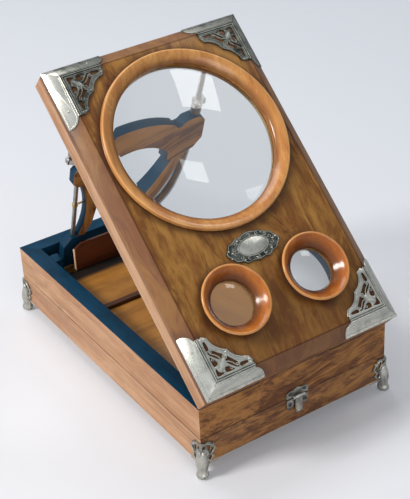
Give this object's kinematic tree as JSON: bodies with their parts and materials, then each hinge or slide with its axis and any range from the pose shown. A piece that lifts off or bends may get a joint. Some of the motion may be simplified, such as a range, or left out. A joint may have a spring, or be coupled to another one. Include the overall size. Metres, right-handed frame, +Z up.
{
  "type": "stereoscope",
  "caption": "Folding table stereoscope: footed wooden case, bevelled lid with eyepieces and a large reading lens, hinged strut, card slide and front catch.",
  "frame": {"origin": "middle of the bounding box at rest, on the ground under the feet", "axes": "+Z up, +Y towards the back, +X to the right seen from the front"},
  "size_m": [0.222, 0.3572, 0.3124],
  "materials": {
    "walnut": "waxed, long straight grain",
    "burr_walnut": "French polished, figured",
    "boxwood": "turned and polished, glossy",
    "glass": "clear, polished",
    "pewter": "cast nickel silver, worn satin",
    "steel": "worn, satin",
    "brass": "aged, satin",
    "painted_wood": "dark blue paint over wood, satin",
    "lining_wood": "oiled, plain",
    "rest_wood": "dark stain with bare edges"
  },
  "bodies": {
    "lower_case": {"lower_front": "walnut", "lower_back": "walnut", "lower_left": "walnut", "lower_right": "walnut", "bottom_board": "lining_wood", "foot_front_left": "pewter", "foot_front_right": "pewter", "foot_rear_left": "pewter", "foot_rear_right": "pewter", "foot_pins": "steel", "catch_lower_plate": "pewter", "catch_lower_screws": "steel", "case_hinge_leaves_lower": "steel", "case_hinge_pins": "steel"},
    "upper_case": {"upper_front": "walnut", "upper_back": "walnut", "upper_left": "walnut", "upper_right": "walnut", "case_floor": "lining_wood", "strut_bearings": "painted_wood", "strut_pins": "steel", "catch_upper_plate": "pewter", "catch_upper_screws": "steel", "case_hinge_leaves_upper": "steel", "lid_hinge_leaves_case": "steel", "lid_hinge_pins": "steel", "catch_pin": "steel"},
    "catch_tongue": {"catch_tongue": "pewter"},
    "lid": {"lid_panel": "burr_walnut", "lid_front_rail": "walnut", "lid_rear_rail": "walnut", "lid_left_rail": "walnut", "lid_right_rail": "walnut", "big_ring": "boxwood", "big_lens": "glass", "big_lens_retainer": "brass", "eyepiece_ring_left": "boxwood", "eyepiece_ring_right": "boxwood", "eyepiece_lenses": "glass", "eyepiece_retainers": "brass", "mount_front_left": "pewter", "mount_front_right": "pewter", "mount_rear_left": "pewter", "mount_rear_right": "pewter", "mount_pins": "steel", "cartouche": "pewter", "cartouche_pins": "steel", "lid_hinge_leaves_lid": "steel", "stay_brackets": "steel"},
    "stays": {"stay_rods": "steel"},
    "strut": {"arch_rail": "painted_wood", "leg_left": "painted_wood", "leg_right": "painted_wood", "strut_feet": "painted_wood", "lower_rods": "steel", "stay_clips": "steel", "rod_eyes": "brass"},
    "carriage": {"carriage_board": "lining_wood", "card_rest_pivots": "brass"},
    "card_rest": {"card_rest": "rest_wood"}
  },
  "joints": [
    {"name": "case_open", "type": "hinge", "parent": "lower_case", "child": "upper_case", "pos_m": [0, 0.1726, 0.043], "axis": [-1, 0, 0], "range_deg": [0, 95]},
    {"name": "catch_lift", "type": "hinge", "parent": "upper_case", "child": "catch_tongue", "pos_m": [0.001, -0.1656, 0.0438], "axis": [-1, 0, 0], "range_deg": [0, 100]},
    {"name": "lid_tilt", "type": "hinge", "parent": "upper_case", "child": "lid", "pos_m": [0, -0.1614, 0.0772], "axis": [1, 0, 0], "range_deg": [-41, 0]},
    {"name": "stay_fold", "type": "hinge", "parent": "lid", "child": "stays", "pos_m": [0, 0.06822, 0.28343], "axis": [1, 0, 0], "range_deg": [-70.61, 0]},
    {"name": "strut_fold", "type": "hinge", "parent": "upper_case", "child": "strut", "pos_m": [0, 0.1345, 0.07], "axis": [1, 0, 0], "range_deg": [0, 72.65]},
    {"name": "carriage_slide", "type": "slide", "parent": "upper_case", "child": "carriage", "axis": [0, 1, 0], "range_m": [-0.15, 0]},
    {"name": "card_rest_fold", "type": "hinge", "parent": "carriage", "child": "card_rest", "pos_m": [0, 0.1191, 0.0628], "axis": [1, 0, 0], "range_deg": [0, 90.05]}
  ],
  "couplings": [
    {"joint": "strut_fold", "follows": "lid_tilt", "ratio": -1.7707},
    {"joint": "stay_fold", "follows": "lid_tilt", "ratio": 1.721},
    {"joint": "card_rest_fold", "follows": "lid_tilt", "ratio": -2.1951}
  ]
}
